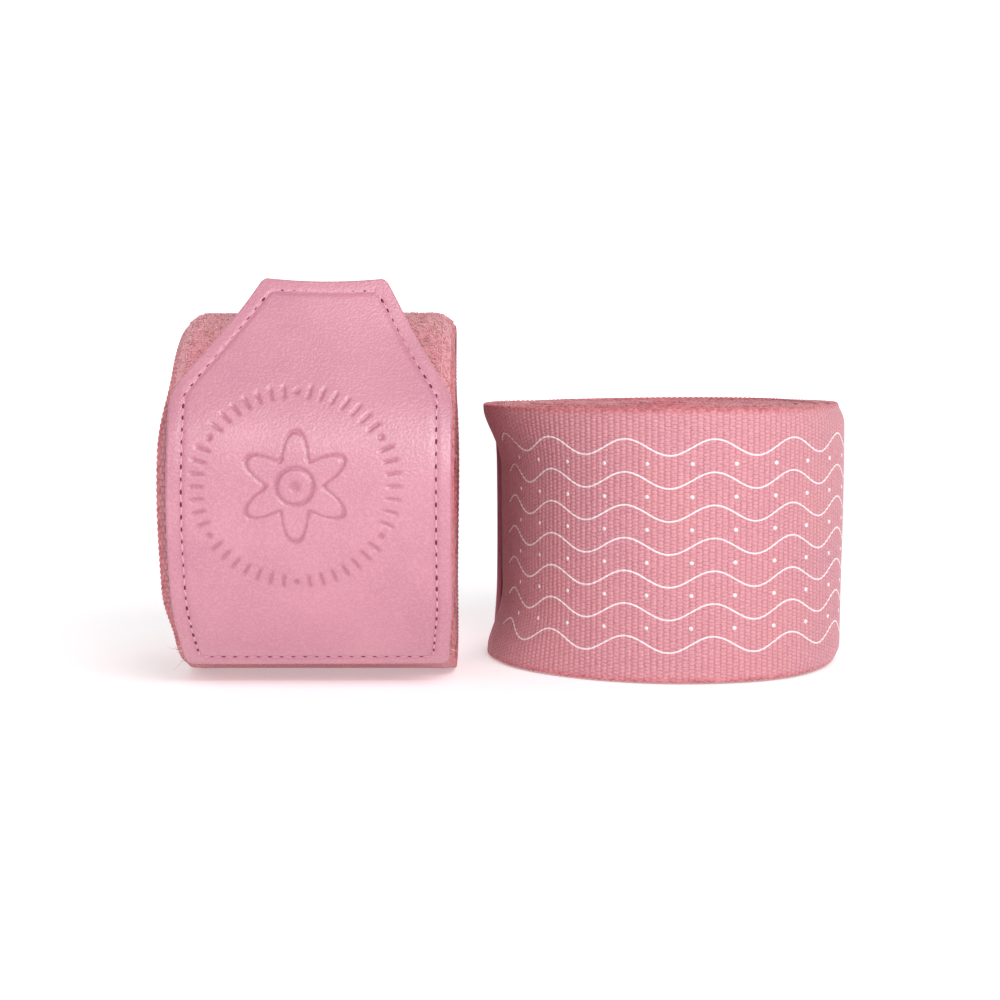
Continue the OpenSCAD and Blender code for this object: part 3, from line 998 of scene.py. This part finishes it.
def cloth_look(name, dark, light, size=0.5, rough=0.85, sheen=0.4, grain_mm=0.12):
    """Plain fibre or cloth: two tones in fine noise, with a soft sheen."""
    look = Look(name, light, rough, Sheen_Weight=sheen, Sheen_Roughness=0.5, Specular_IOR_Level=0.2)
    fine = look.fit(look.noise(size, 4), 0.3, 0.7)
    broad = look.fit(look.noise(size * 14, 2), 0.35, 0.65, 0.0, 0.3)
    base = look.mix(fine, dark, light)
    look.colour(look.mix(broad, base, dark))
    look.bump(fine, grain_mm, 0.8)
    return look.mat


def thread_look(name, dark, light, rough=0.45, sheen=0.2):
    """Twisted thread: fine diagonal strands."""
    look = Look(name, light, rough, Sheen_Weight=sheen, Specular_IOR_Level=0.5)
    turned = look.node("ShaderNodeMapping", {"Vector": look.place, "Rotation": (0.5, 0.6, 0.7)}).outputs[0]
    strand = look.node("ShaderNodeTexWave", {"Vector": turned, "Scale": 1 / (0.9 * MM), "Distortion": 0.6})
    shade = look.times(look.value("shade"), 0.35)
    base = look.mix(strand.outputs["Fac"], dark, light)
    look.colour(look.mix(shade, base, dark))
    look.bump(strand.outputs["Fac"], 0.05, 0.7)
    return look.mat


def webbing_look():
    look = Look("loop_webbing", (206, 120, 132), 0.75, Sheen_Weight=0.3, Specular_IOR_Level=0.25)
    along, across = look.weave()
    twill = look.math("SINE", look.times(look.math("ADD", along, across), 2 * math.pi / 0.9))
    pick = look.math("SINE", look.times(across, 2 * math.pi / 0.6))
    base = look.mix(look.fit(twill, -1, 1), (176, 88, 102), (216, 134, 144))
    look.colour(look.mix(look.fit(look.noise(0.4), 0.3, 0.7, 0.0, 0.4), base, (226, 150, 158)))
    look.bump(look.math("ADD", twill, pick), 0.06, 0.7)
    return look.mat


LOOKS = {
    "band": band_look(),
    "leather": leather_look(),
    "pile": cloth_look("pile_ground", (208, 128, 136), (234, 160, 166), 0.7, 0.95, 0.5, 0.2),
    "fuzz": thread_look("pile_loops", (226, 146, 154), (250, 190, 194), 0.8, 0.6),
    "lining": cloth_look("lining_cloth", (180, 104, 116), (210, 138, 148), 0.4),
    "hook_tape": cloth_look("hook_tape", (196, 116, 130), (214, 140, 152), 0.5, 0.5, 0.1, 0.05),
    "hooks": thread_look("moulded_hooks", (206, 130, 144), (232, 170, 182), 0.32, 0.0),
    "thread": thread_look("sewing_thread", (206, 134, 156), (232, 178, 194), 0.38, 0.2),
    # painted shade: a dark colour for the pit at each needle hole
    "slot": cloth_look("needle_slot_shade", (104, 40, 58), (134, 62, 82), 0.3, 0.8, 0.0, 0.05),
    "ink": cloth_look("printed_ink", (240, 224, 230), (252, 244, 247), 0.8, 0.6, 0.1, 0.05),
    "fray": thread_look("loose_fibres", (232, 196, 200), (250, 232, 234), 0.7, 0.5),
    "webbing": webbing_look(),
    "hem": cloth_look("folded_hem", (186, 92, 98), (226, 144, 150), 0.6, 0.85, 0.4, 0.15),
}


# ---- putting the pieces together
def dress(obj, look, body):
    obj.data.materials.clear()
    obj.data.materials.append(LOOKS[look])
    if body:
        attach(obj, body)
    return obj


def build_roll(side):
    roll, flap = f"{side}_roll", f"{side}_flap"
    seed = side_seed(71, side)
    slip = 0.75 if side == "left" else 0.5
    middle = FACE_START * 0.5
    inner = band_mesh(f"{side}_band_inner_turns", side, 0.0, middle, CORE_SAMPLES, 24.0, slip, seed)
    core = band_mesh(f"{side}_band_middle_turns", side, middle, FACE_START, CORE_SAMPLES, 24.0, slip, seed)
    face = band_mesh(f"{side}_band_outer_turn", side, FACE_START, BAND_PATH.length, RIB_SAMPLES, ACROSS,
                     slip, seed)
    for piece in (inner, core, face):
        dress(piece, "band", roll)
    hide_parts(f"{side}_band")
    ink = dress(print_mesh(side, seed, slip), "ink", roll)

    loop, loop_len = thumb_loop_mesh(side)
    dress(loop, "webbing", roll)
    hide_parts(f"{side}_thumb_loop")

    pile, fuzz = pile_mesh(side), pile_fuzz(side)
    sewing = pile_stitch_mesh(side)
    dress(pile, "pile", roll)
    dress(fuzz, "fuzz", roll)
    dress(sewing, "thread", roll)
    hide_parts(f"{side}_pile_strip")
    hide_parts(f"{side}_pile_stitching")

    hem = dress(hem_mesh(side), "hem", roll)
    loose = dress(fray_mesh(side), "fray", roll)
    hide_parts(f"{side}_band_end_hem")

    leather = dress(leather_mesh(side), "leather", None)
    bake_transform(leather)
    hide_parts(f"{side}_closure_base", f"{side}_closure_flap")
    sewn = []
    for part, body in (("base", roll), ("flap", flap)):
        threads, slots = stitch_mesh(side, part)
        sewn += [dress(threads, "thread", body), dress(slots, "slot", body)]
        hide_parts(f"{side}_{part}_stitching")
    lining = dress(lining_mesh(side), "lining", flap)
    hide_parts(f"{side}_flap_lining")
    tape = dress(hook_mesh(side), "hook_tape", flap)
    hooks = dress(hook_field(side), "hooks", flap)
    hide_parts(f"{side}_hook_strip")
    bartack = bpy.data.objects[f"{side}_thumb_loop_bartack"]
    bartack.data.materials.clear()
    bartack.data.materials.append(LOOKS["thread"])


for side in SIDES:
    build_roll(side)


# ---- floor, light and camera
def stage_sheet(name, corners, emission):
    mesh = bpy.data.meshes.new(name)
    mesh.from_pydata(corners, [], [(0, 1, 2, 3)])
    obj = bpy.data.objects.new(name, mesh)
    bpy.context.collection.objects.link(obj)
    look = Look(name, (250, 249, 250), 0.9)
    look.set(look.bsdf, {"Emission Color": linear((255, 255, 255)), "Emission Strength": emission})
    mesh.materials.append(look.mat)


def area_light(name, place, target, size, power, low=None):
    data = bpy.data.lights.new(name, "AREA")
    data.size, data.energy = size, power
    if low is not None:
        data.shape, data.size_y = "RECTANGLE", low
    obj = bpy.data.objects.new(name, data)
    obj.location = place
    obj.rotation_euler = (Vector(target) - Vector(place)).to_track_quat("-Z", "Y").to_euler()
    bpy.context.collection.objects.link(obj)


reach, under = 3.0, -0.0002
stage_sheet("studio_floor", [(-reach, -reach, under), (reach, -reach, under), (reach, reach, under),
                             (-reach, reach, under)], 0.30)
stage_sheet("studio_wall", [(-reach, 1.6, under), (reach, 1.6, under), (reach, 1.6, 2.4),
                            (-reach, 1.6, 2.4)], 0.75)
area_light("key", (0.24, -0.52, 0.44), (0, 0, 0.03), 0.40, 2.6)
area_light("strip", (0.02, -0.60, 0.40), (0, -0.03, 0.04), 0.7, 1.25, low=0.07)
area_light("front_fill", (-0.10, -0.8, 0.15), (0, 0, 0.03), 0.5, 0.4)
world = bpy.data.worlds.new("studio")
world.use_nodes = True
world.node_tree.nodes["Background"].inputs["Color"].default_value = (1, 1, 1, 1)
world.node_tree.nodes["Background"].inputs["Strength"].default_value = 0.36
bpy.context.scene.world = world
bpy.context.scene.view_settings.view_transform = "Standard"

lens = bpy.data.cameras.new("camera")
lens.lens, lens.sensor_width = 70.4, 36.0
camera = bpy.data.objects.new("camera", lens)
camera.location = (-0.0046, -0.382, 0.062)
camera.rotation_euler = (math.radians(90 - 4.6), 0, 0)
bpy.context.collection.objects.link(camera)
bpy.context.scene.camera = camera
